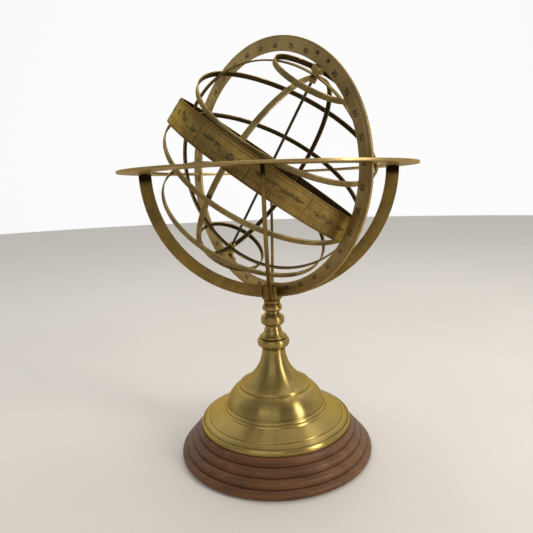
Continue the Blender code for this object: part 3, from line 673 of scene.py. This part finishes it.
# ---- Horizon ring ---------------------------------------------------------------------------
# A flat ring cut from sheet and faced on a lathe. Its top is scribed with circles and divided
# into degrees, the cuts filled with black; slots take the arms' tongues and the meridian ring.
def inlay(name, points, across, outward, half_width, proud, material):
    """Thin closed strokes laid on a surface, a few hundredths of a millimetre proud.

    Stroke k has points[k, i]; its section there is a flat rectangle, half_width to each side
    along across[k, i], and from the same depth below to proud above along outward[k, i].
    """
    strokes, steps = points.shape[:2]
    corner = np.array([[-1, -1], [1, -1], [1, 1], [-1, 1]], float)
    spots = points[:, :, None] + across[:, :, None] * (corner[:, :1] * half_width) \
        + outward[:, :, None] * (corner[:, 1:] * proud)
    i, j = np.meshgrid(np.arange(steps - 1), np.arange(4), indexing="ij")
    here, there, turn = i * 4, (i + 1) * 4, (j + 1) % 4
    side = np.stack([here + j, there + j, there + turn, here + turn], -1)
    ends = np.array([[0, 1, 2, 3], [3, 2, 1, 0]]) + np.array([[0], [(steps - 1) * 4]])
    one = np.concatenate([side.reshape(-1, 4), ends])
    faces = (one[None] + (np.arange(strokes) * steps * 4)[:, None, None]).reshape(-1, 4)
    mesh = bpy.data.meshes.new(name)
    mesh.from_pydata(spots.reshape(-1, 3).tolist(), [], faces.tolist())
    mesh.materials.append(material)
    return tidy(linked(name, mesh))


def black_wax():
    """Wax and old dirt rubbed into engraved lines: nearly black, dull, unevenly filled."""
    material, nodes, shader, bump = new_material("black_wax")
    place = nodes.add("ShaderNodeTexCoord").outputs["Object"]
    fill = nodes.noise(place, 700.0, 4.0, 0.6)
    nodes.join(nodes.ramp(fill, [(0.35, (0.012, 0.008, 0.005)), (0.65, (0.040, 0.028, 0.014))]),
               shader.inputs["Base Color"])
    nodes.join(nodes.ramp(fill, [(0.3, 0.60), (0.7, 0.85)]), shader.inputs["Roughness"])
    shader.inputs["Specular IOR Level"].default_value = 0.2
    nodes.join(fill, bump.inputs["Height"])
    bump.inputs["Distance"].default_value = 0.03 * MM
    return material


wax = black_wax()
PROUD = 0.03 * MM        # how far marks and figures stand off their ring


def degree_ticks(name, place, level, radii, proud, material):
    """Radial strokes, one a degree, on the plane z = level of a ring's own frame.

    radii are the radius where each stroke starts and, for whole degrees, fives and tens, the
    radius where it ends: a stroke at angle t runs along (cos t, sin t).
    """
    degree = np.arange(360)
    start, single, five, ten = radii
    end = np.where(degree % 10 == 0, ten, np.where(degree % 5 == 0, five, single))
    t = np.radians(degree)
    out = np.stack([np.cos(t), np.sin(t), 0 * t], -1)
    across = np.stack([-np.sin(t), np.cos(t), 0 * t], -1)
    rows = np.stack([out * start, out * end[:, None]], 1)
    rows[..., 2] = level
    turn = np.array(place)[:3, :3].T
    rows = moved(rows, place)
    up = np.broadcast_to(np.array([0.0, 0.0, 1.0]) @ turn, rows.shape)
    across = np.repeat((across @ turn)[:, None], 2, 1)
    half_width = 0.13 * MM
    return inlay(name, rows, across, up, half_width, proud, material)


def scribed(radius, level, way):
    """Three corners of a fine groove cut into a flat face at a radius; way is 1 on a top."""
    half, depth = 0.16 * MM, 0.14 * MM
    tiny = 0.03 * MM
    groove = [(radius - half, level, tiny), (radius, level - depth * way, tiny),
              (radius + half, level, tiny)]
    return groove if way < 0 else groove[::-1]


def horizon_piece(material):
    """Flat ring with circles scribed in its top, then its five slots."""
    low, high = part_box("horizon_ring")
    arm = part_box("arm_right")[1]
    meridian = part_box("meridian_ring")[1].z - CENTRE.z
    inner = np.hypot(*solid_points("horizon_ring")[:, :2].T).min()
    edge = 0.45 * MM
    outline = [(inner, low.z, edge), (high.x, low.z, edge), (high.x, high.z, edge)]
    wide = high.x - inner
    for inset in (1.6 * MM, 6.4 * MM, 11.2 * MM, 0.70 * wide, wide - 1.8 * MM):
        outline += scribed(high.x - inset, high.z, 1)
    outline += [(inner, high.z, edge)]
    ring = turned("horizon_turned", outline, 288, material)
    tongue_inset, tongue_width = 2.7 * MM, 8.1 * MM
    far = arm.x - tongue_inset
    near = far - tongue_width
    tongue, reach, half = 1.2 * MM, meridian + 0.6 * MM, 1.55 * MM
    below, above = low.z - 5 * MM, high.z + 5 * MM
    slots = [box_mesh((near, -tongue, below), (far, tongue, above),
                      Matrix.Rotation(quarter * math.pi / 2, 4, "Z")) for quarter in range(4)]
    slots.append(box_mesh((-reach, -half, below), (reach, half, above),
                          Matrix.Rotation(MERIDIAN_TURN, 4, "Z")))
    return add(cut(ring, slots), "stand", "ring_brass", "horizon_ring"), high


ring_brass = brass("ring_brass", (0.52, 0.375, 0.155), (0.24, 0.165, 0.068),
                   amount=0.48, polish=0.30, lines=0.6, clouds=22.0, depth=0.012 * MM)
horizon, horizon_top = horizon_piece(ring_brass)
horizon.data.shade_smooth()
horizon.data.set_sharp_from_angle(angle=math.radians(40.0))
rim = horizon_top.x
horizon_marks = (rim - 1.6 * MM, rim - 6.2 * MM, rim - 8.6 * MM, rim - 11.0 * MM)
add(degree_ticks("horizon_degrees", Matrix.Identity(4), horizon_top.z, horizon_marks, PROUD, wax),
    "stand", "ring_brass")


# ---- Meridian ring --------------------------------------------------------------------------
# The upright ring that carries the poles, cut from the same sheet. Both faces have a scale of
# degrees near the rim and figures in tens, counted each way from the equator to the poles.
def axes(x_axis, y_axis, z_axis, origin):
    """Placement whose X, Y and Z point along three directions, from an origin."""
    return Matrix.Translation(origin) @ Matrix((x_axis, y_axis, z_axis)).transposed().to_4x4()


MERIDIAN_PLACE = axes(POLE, MERIDIAN_NORMAL.cross(POLE), MERIDIAN_NORMAL, CENTRE)


def spread(node, place):
    """Inner and outer radius, lowest and highest point of a solid in a placement's own axes."""
    spots = moved(solid_points(node), place.inverted())
    radius = np.hypot(spots[:, 0], spots[:, 1])
    return radius.min(), radius.max(), spots[:, 2].min(), spots[:, 2].max()


def figures(name, labels, height, proud, material):
    """Numbers laid out by placement: labels are (text, 4x4 placement) pairs.

    Each text is made a mesh first, and its corners are moved after that.
    """
    made = {}
    parts, faces, count = [], [], 0
    for text, place in labels:
        if text not in made:
            letters = bpy.data.curves.new("figure", "FONT")
            letters.body, letters.size, letters.extrude = text, height, proud
            letters.align_x, letters.align_y = "CENTER", "CENTER"
            letters.resolution_u, letters.offset = 3, 0.12 * MM
            thing = linked("figure", letters)
            bpy.context.view_layer.update()
            flat = evaluated_mesh(thing)
            spots = np.empty(len(flat.vertices) * 3, np.float32)
            flat.vertices.foreach_get("co", spots)
            made[text] = spots.reshape(-1, 3), [tuple(face.vertices) for face in flat.polygons]
            bpy.data.objects.remove(thing)
        spots, sides = made[text]
        parts.append(moved(spots, place))
        faces += [tuple(corner + count for corner in side) for side in sides]
        count += len(spots)
    mesh = bpy.data.meshes.new(name)
    mesh.from_pydata(np.concatenate(parts).tolist(), [], faces)
    mesh.materials.append(material)
    return tidy(linked(name, mesh))


def meridian_piece(material):
    """Flat ring with two circles scribed in each face, then its degrees and figures."""
    inner, outer, low, high = spread("meridian_ring", MERIDIAN_PLACE)
    edge = 0.4 * MM
    lines = (outer - 4.6 * MM, outer - 0.9 * MM)
    outline = [(inner, low, edge)]
    for radius in lines:
        outline += scribed(radius, low, -1)
    outline += [(outer, low, edge), (outer, high, edge)]
    for radius in reversed(lines):
        outline += scribed(radius, high, 1)
    ring = turned("meridian_turned", outline + [(inner, high, edge)], 288, material, MERIDIAN_PLACE)
    add(ring, "meridian", "ring_brass", "meridian_ring")
    scale = (lines[1], outer - 2.6 * MM, outer - 3.4 * MM, lines[0])
    middle = (inner + lines[0]) / 2
    for face, level, flip in (("near", low, -1), ("far", high, 1)):
        ticks = degree_ticks("meridian_degrees_" + face, MERIDIAN_PLACE, level, scale, PROUD, wax)
        add(ticks, "meridian", "ring_brass")
        labels = []
        for degree in range(0, 360, 10):
            latitude = abs(90 - degree % 180)
            t = math.radians(degree)
            out = Vector((math.cos(t), math.sin(t), 0.0))
            normal = Vector((0.0, 0.0, flip))
            spot = axes(out.cross(normal), out, normal, out * middle + Vector((0.0, 0.0, level)))
            if latitude < 90:
                labels.append((str(latitude), MERIDIAN_PLACE @ spot))
        tall = 6.6 * MM
        add(figures("meridian_figures_" + face, labels, tall, PROUD, wax), "meridian", "ring_brass")


meridian_piece(ring_brass)


# ---- Pivot blocks and rivets ----------------------------------------------------------------
# A filed brass block behind the meridian ring at each pole. Its plate is held by two rivets
# with low round heads, and its nose is bored for the end of the polar axis.
def softer_copy(name, node, width, material):
    """Copy of a plain solid, its points merged, with its edges broken."""
    thing = linked(name, frame["nodes"][node].data.copy())
    shape = bmesh.new()
    shape.from_mesh(thing.data)
    bmesh.ops.remove_doubles(shape, verts=shape.verts, dist=0.001 * MM)
    bmesh.ops.dissolve_limit(shape, angle_limit=math.radians(1.0), verts=shape.verts,
                             edges=shape.edges)
    shape.to_mesh(thing.data)
    shape.free()
    thing.data.materials.clear()
    thing.data.materials.append(material)
    return broken_edges(thing, width, 3)


def rivet_piece(name, node, material):
    """Round shank between two domed heads, along the meridian ring's normal."""
    low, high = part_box(node)
    middle = (low + high) / 2
    place = axes(POLE, MERIDIAN_NORMAL.cross(POLE), MERIDIAN_NORMAL, middle)
    _, outer, bottom, top = spread(node, place)
    head, shank = 0.6 * MM, 1.1 * MM
    outline = [(0.0, bottom, 0.0), (outer * 0.55, bottom, 0.9 * MM),
               (outer, bottom + head, 0.15 * MM),
               (shank, bottom + head, 0.05 * MM), (shank, top - head, 0.05 * MM),
               (outer, top - head, 0.15 * MM), (outer * 0.55, top, 0.9 * MM), (0.0, top, 0.0)]
    return add(turned(name, outline, 32, material, place), "meridian", "cradle_brass", node)


fitting_brass = brass("fitting_brass", (0.52, 0.39, 0.16), (0.22, 0.16, 0.06),
                      amount=0.42, polish=0.30, lines=0.5, clouds=60.0, depth=0.012 * MM)
rivet_brass = brass("rivet_brass", (0.13, 0.070, 0.040), (0.055, 0.030, 0.020),
                    amount=0.50, polish=0.42, lines=0.3, clouds=80.0, depth=0.020 * MM)
for pole in ("north", "south"):
    block = softer_copy("pivot_" + pole, "pivot_block_" + pole, 0.35 * MM, fitting_brass)
    add(block, "meridian", "cradle_brass", "pivot_block_" + pole)
    for number in ("1", "2"):
        rivet_piece(f"round_rivet_{pole}_{number}", f"rivet_{pole}_{number}", rivet_brass)


# ---- Colures, equator, tropics and polar circles ----------------------------------------------
# Hoops rolled from one flat strip and soldered shut. Two colures cross at the poles and carry
# the other five, which lie round them; all carry painted shade, darkest inside, and are rubbed
# outside.
POLE_UP = (Vector((0.0, 0.0, 1.0)) - POLE * POLE.z).normalized()
SPHERE_PLACE = axes(POLE_UP, POLE.cross(POLE_UP), POLE, CENTRE)


def ring_axis(node):
    """Direction in which a ring's points spread least: the last singular vector of its points."""
    spots = solid_points(node).astype(float)
    return Vector(np.linalg.svd(spots - spots.mean(0), full_matrices=False)[2][2])


def ring_place(node):
    """Placement about the sphere's centre, with Z along a ring's axis and X square to the pole."""
    axis = ring_axis(node)
    axis = axis if axis.dot(POLE) > 0 or abs(axis.dot(POLE)) < 0.1 else -axis
    towards = POLE if abs(axis.dot(POLE)) < 0.9 else POLE_UP
    x_axis = (towards - axis * towards.dot(axis)).normalized()
    return axes(x_axis, axis.cross(x_axis), axis, CENTRE)


def hoop_piece(name, node, material, lines=()):
    """Rolled strip: a rounded rectangle turned about the ring's own axis.

    It carries painted shade, darker on its inner face than on its outer one. lines are heights
    of grooves cut round its outside, from the low edge if above 0 and from the high edge if below.
    """
    place = ring_place(node)
    inner, outer, low, high = spread(node, place)
    # Painted shade: 0.42 over the inner face, 0.20 over the outer face, graded across the edges.
    edge, inside_painted_shade, outside_painted_shade = 0.42 * MM, 0.42, 0.20
    outline = [(inner, low, edge, inside_painted_shade), (outer, low, edge, outside_painted_shade)]
    half, depth, groove_dirt = 0.26 * MM, 0.2 * MM, 0.5
    for height in lines:
        level = low + height if height > 0 else high + height
        outline += [(outer, level - half, 0.03 * MM), (outer - depth, level, 0.1 * MM, groove_dirt),
                    (outer, level + half, 0.03 * MM)]
    outline += [(outer, high, edge, outside_painted_shade), (inner, high, edge, inside_painted_shade)]
    return turned(name, outline, 256, material, place)


hoop_brass = brass("hoop_brass", (0.58, 0.44, 0.19), (0.24, 0.17, 0.065),
                   amount=0.48, polish=0.30, lines=0.6, clouds=34.0, depth=0.010 * MM)
for name, node in (("colure_inner", "colure_solstitial"), ("colure_outer", "colure_equinoctial"),
                   ("equator_hoop", "equator"),
                   ("tropic_hoop_north", "tropic_north"), ("tropic_hoop_south", "tropic_south"),
                   ("polar_hoop_north", "polar_circle_north"),
                   ("polar_hoop_south", "polar_circle_south")):
    add(hoop_piece(name, node, hoop_brass), "sphere", "hoop_brass", node)


# ---- Zodiac band ----------------------------------------------------------------------------
# A broad band rolled from thin sheet, engraved while it was flat: border lines, a scale of
# degrees, and twelve panels of nested arcs, stars and hatching over a strip of bars.
BAND_PLACE = ring_place("zodiac_band")
BORDER, STRIP = 1.7 * MM, 7.0 * MM       # border and strip line, in from the band's edges


def band_strokes(name, strokes, half_width, material):
    """Engraved strokes on the band's outside, given flat as (angle, height) points.

    A stroke is a run of points (t, h), t in radians and h in metres, in equal steps; it lies
    at (R cos t, R sin t, h), and its width runs square to it along the surface.
    """
    outer = spread("zodiac_band", BAND_PLACE)[1]
    flat = np.array(strokes, float)
    t, height = flat[..., 0], flat[..., 1]
    outward = np.stack([np.cos(t), np.sin(t), 0 * t], -1)
    round_way = np.stack([-np.sin(t), np.cos(t), 0 * t], -1)
    run = np.gradient(t, axis=1) * outer
    rise = np.gradient(height, axis=1)
    length = np.hypot(run, rise) + 1e-12
    across = round_way * (-rise / length)[..., None]
    across[..., 2] += run / length
    points = outward * outer
    points[..., 2] = height
    turn = np.array(BAND_PLACE)[:3, :3].T
    proud = 0.035 * MM
    return inlay(name, moved(points, BAND_PLACE), across @ turn, outward @ turn, half_width,
                 proud, material)


def band_pattern(outer, half):
    """Flat strokes for the band, three lists: degree ticks, panel dividers, and a pattern.

    Each panel has nested arcs about a random point, (a cos s, b sin s), a few six-pointed
    stars among short hatching, and a row of upright bars in the strip along its lower edge.
    """
    chance = np.random.default_rng(12)
    line = np.linspace(0.0, 1.0, 9)[:, None]

    def stroke(t0, h0, t1, h1):
        return np.array([[t0, h0]]) * (1 - line) + np.array([[t1, h1]]) * line

    def arc(t, h, wide, tall, first, last):
        turn = first + (last - first) * line
        return np.hstack([t + wide * np.cos(turn) / outer, h + tall * np.sin(turn)])

    border, strip = half - BORDER, half - STRIP
    ticks, panels, marks = [], [], []
    for degree in range(360):
        t = math.radians(degree)
        reach = 1.5 * MM if degree % 5 else 2.6 * MM
        ticks.append(stroke(t, border, t, border - reach))
    panel = math.tau / 12
    for number in range(12):
        start = number * panel
        panels.append(stroke(start, -border, start, border - 3.0 * MM))
        for group in range(4):
            t = start + panel * (0.18 + 0.21 * group) + chance.uniform(-0.015, 0.015)
            h = chance.uniform(-0.10, 0.30) * half
            first, sweep = chance.uniform(0.0, math.tau), chance.uniform(1.6, 3.6)
            for nest in range(1, 6):
                wide = (1.2 + 1.15 * nest) * MM
                marks.append(arc(t, h, wide, 0.50 * wide, first, first + sweep))
            size = chance.uniform(0.9, 1.5) * MM
            for way in range(3):
                angle = math.pi * way / 3
                dt, dh = size * math.cos(angle) / outer, size * math.sin(angle)
                marks.append(stroke(t - dt, h - dh, t + dt, h + dh))
            for hatch in range(5):
                shift = (1.0 * hatch + 3.4) * MM / outer
                lean = 1.2 * MM / outer
                marks.append(stroke(t + shift, h - 2.6 * MM, t + shift + lean, h - 0.6 * MM))
        for bar in range(13):
            t = start + panel * (0.14 + 0.060 * bar)
            lean = chance.uniform(-0.6, 0.6) * MM / outer
            marks.append(stroke(t, -border + 0.9 * MM, t + lean, -strip - 0.8 * MM))
    return ticks, panels, marks


band_brass = brass("band_brass", (0.36, 0.245, 0.075), (0.15, 0.10, 0.032),
                   amount=0.50, polish=0.31, lines=0.6, clouds=30.0, depth=0.014 * MM)
band_lines = (BORDER - 0.7 * MM, BORDER, STRIP, -BORDER - 3.0 * MM, -BORDER, -BORDER + 0.7 * MM)
band = hoop_piece("zodiac_hoop", "zodiac_band", band_brass, band_lines)
add(band, "sphere", "ring_brass", "zodiac_band")
_, band_outer, _, band_high = spread("zodiac_band", BAND_PLACE)
ticks, panels, marks = band_pattern(band_outer, band_high)
add(band_strokes("zodiac_degrees", ticks, 0.19 * MM, wax), "sphere", "ring_brass")
add(band_strokes("zodiac_panels", panels, 0.30 * MM, wax), "sphere", "ring_brass")
add(band_strokes("zodiac_stars", marks, 0.19 * MM, wax), "sphere", "ring_brass")


# ---- Polar axis and its fittings --------------------------------------------------------------
# A browned steel rod through both poles, domed at its ends. At each pole a knurled round nut
# inside the colures and a thin washer outside them clamp the two hoops together.
def browned_steel():
    """Browned steel rod: near black, faintly streaked along, with a soft polish."""
    material, nodes, shader, bump = new_material("browned_steel")
    surface = nodes.add("ShaderNodeUVMap", uv_map="surface").outputs["UV"]
    place = nodes.add("ShaderNodeTexCoord").outputs["Object"]
    streaks = nodes.noise(nodes.stretched(surface, (900.0, 30.0, 1.0)), 1.0, 4.0, 0.6)
    clouds = nodes.noise(place, 45.0, 5.0, 0.6)
    colour = nodes.ramp(clouds, [(0.35, (0.060, 0.045, 0.034)), (0.70, (0.115, 0.080, 0.050))])
    nodes.join(colour, shader.inputs["Base Color"])
    nodes.join(nodes.ramp(streaks, [(0.3, 0.34), (0.7, 0.48)]), shader.inputs["Roughness"])
    shader.inputs["Metallic"].default_value = 1.0
    nodes.join(streaks, bump.inputs["Height"])
    bump.inputs["Distance"].default_value = 0.01 * MM
    return material


_, rod_r, rod_low, rod_high = spread("polar_axis", SPHERE_PLACE)
rod_end = 0.5 * MM
rod_outline = [(0.0, rod_low, 0.0), (rod_r, rod_low, rod_end), (rod_r, rod_high, rod_end),
               (0.0, rod_high, 0.0)]
rod_turned = turned("polar_rod", rod_outline, 40, browned_steel(), SPHERE_PLACE)
add(rod_turned, "sphere", "steel", "polar_axis")
for pole in ("north", "south"):
    for kind, edge, knurls, depth in (("nut", 0.45 * MM, 18, 0.05), ("washer", 0.2 * MM, 0, 0.0)):
        node = f"pole_{kind}_{pole}"
        bore, outer, low, high = spread(node, SPHERE_PLACE)
        outline = [(bore, low, 0.1 * MM), (outer, low, edge), (outer, high, edge),
                   (bore, high, 0.1 * MM)]
        piece = turned(f"{kind}_{pole}", outline, 144, fitting_brass, SPHERE_PLACE, knurls, depth)
        add(piece, "sphere", "cradle_brass", node)


# ---- Floor, light and camera ------------------------------------------------------------------
# A plain pale floor in a soft white surround, darker behind the camera. A narrow upright key
# light stands on the right, with a wide light in front and one above. The camera is a little
# below the horizon ring.
def pale_floor():
    """Matt pale floor, its tone barely uneven."""
    material, nodes, shader, bump = new_material("pale_floor")
    place = nodes.add("ShaderNodeTexCoord").outputs["Object"]
    tone = nodes.noise(place, 3.0, 4.0)
    nodes.join(nodes.ramp(tone, [(0.3, (0.76, 0.71, 0.64)), (0.7, (0.80, 0.75, 0.68))]),
               shader.inputs["Base Color"])
    nodes.join(nodes.ramp(tone, [(0.3, 0.55), (0.7, 0.65)]), shader.inputs["Roughness"])
    nodes.join(tone, bump.inputs["Height"])
    bump.inputs["Distance"].default_value = 0.05 * MM
    return material


floor_mesh = bpy.data.meshes.new("floor")
angle = np.linspace(0.0, math.tau, 96, endpoint=False)
floor_radius = 4.0
rim_points = np.stack([np.cos(angle), np.sin(angle), 0 * angle], -1) * floor_radius
floor_mesh.from_pydata(rim_points.tolist(), [], [tuple(range(96))])
floor_mesh.materials.append(pale_floor())
floor = linked("floor", floor_mesh)


def soft_light(name, place, wide, tall, watts, colour):
    """Rectangular area light that faces the sphere's centre."""
    lamp = bpy.data.lights.new(name, "AREA")
    lamp.shape, lamp.size, lamp.size_y = "RECTANGLE", wide, tall
    lamp.energy, lamp.color = watts, colour
    thing = linked(name, lamp)
    thing.location = place
    thing.rotation_euler = (CENTRE - Vector(place)).to_track_quat("-Z", "Y").to_euler()


soft_light("key", (1.45, -0.85, 0.80), 0.32, 1.1, 17.0, (1.0, 0.97, 0.92))
soft_light("front", (-0.5, -1.9, 1.2), 1.8, 0.9, 7.0, (1.0, 0.98, 0.95))
soft_light("top", (0.2, 0.6, 1.7), 1.4, 1.0, 7.0, (1.0, 1.0, 1.0))

world = bpy.data.worlds.new("surround")
bpy.context.scene.world = world
world.use_nodes = True
surround = Nodes(world.node_tree)
sky = world.node_tree.nodes["Background"]
direction = surround.add("ShaderNodeTexCoord").outputs["Generated"]
split = surround.add("ShaderNodeSeparateXYZ")
surround.join(direction, split.inputs[0])
depth = surround.math("ADD", surround.math("MULTIPLY", split.outputs["Y"], 0.5), 0.5)
levels = surround.ramp(depth, [(0.0, 0.26), (0.30, 0.32), (0.50, 0.42), (0.68, 0.86), (1.0, 0.98)])
surround.join(levels, sky.inputs["Color"])
sky.inputs["Strength"].default_value = 1.0
bpy.context.scene.view_settings.view_transform = "Standard"

heading, pitch, roll = math.radians(-2.19), math.radians(9.37), math.radians(-2.07)
forward = Vector((math.sin(heading) * math.cos(pitch), math.cos(heading) * math.cos(pitch),
                  -math.sin(pitch)))
level_right = Vector((math.cos(heading), -math.sin(heading), 0.0))
level_up = level_right.cross(forward)
right = level_right * math.cos(roll) + level_up * math.sin(roll)
upright = -level_right * math.sin(roll) + level_up * math.cos(roll)
lens = bpy.data.cameras.new("camera")
lens.sensor_width = 36.0
lens.lens = 32.59
lens.dof.use_dof = False
camera = linked("camera", lens)
ring_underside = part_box("horizon_ring")[0].z
standpoint = Vector((0.01556, -0.53378, ring_underside - 0.01803))
camera.matrix_world = axes(right, upright, -forward, standpoint)
bpy.context.scene.camera = camera
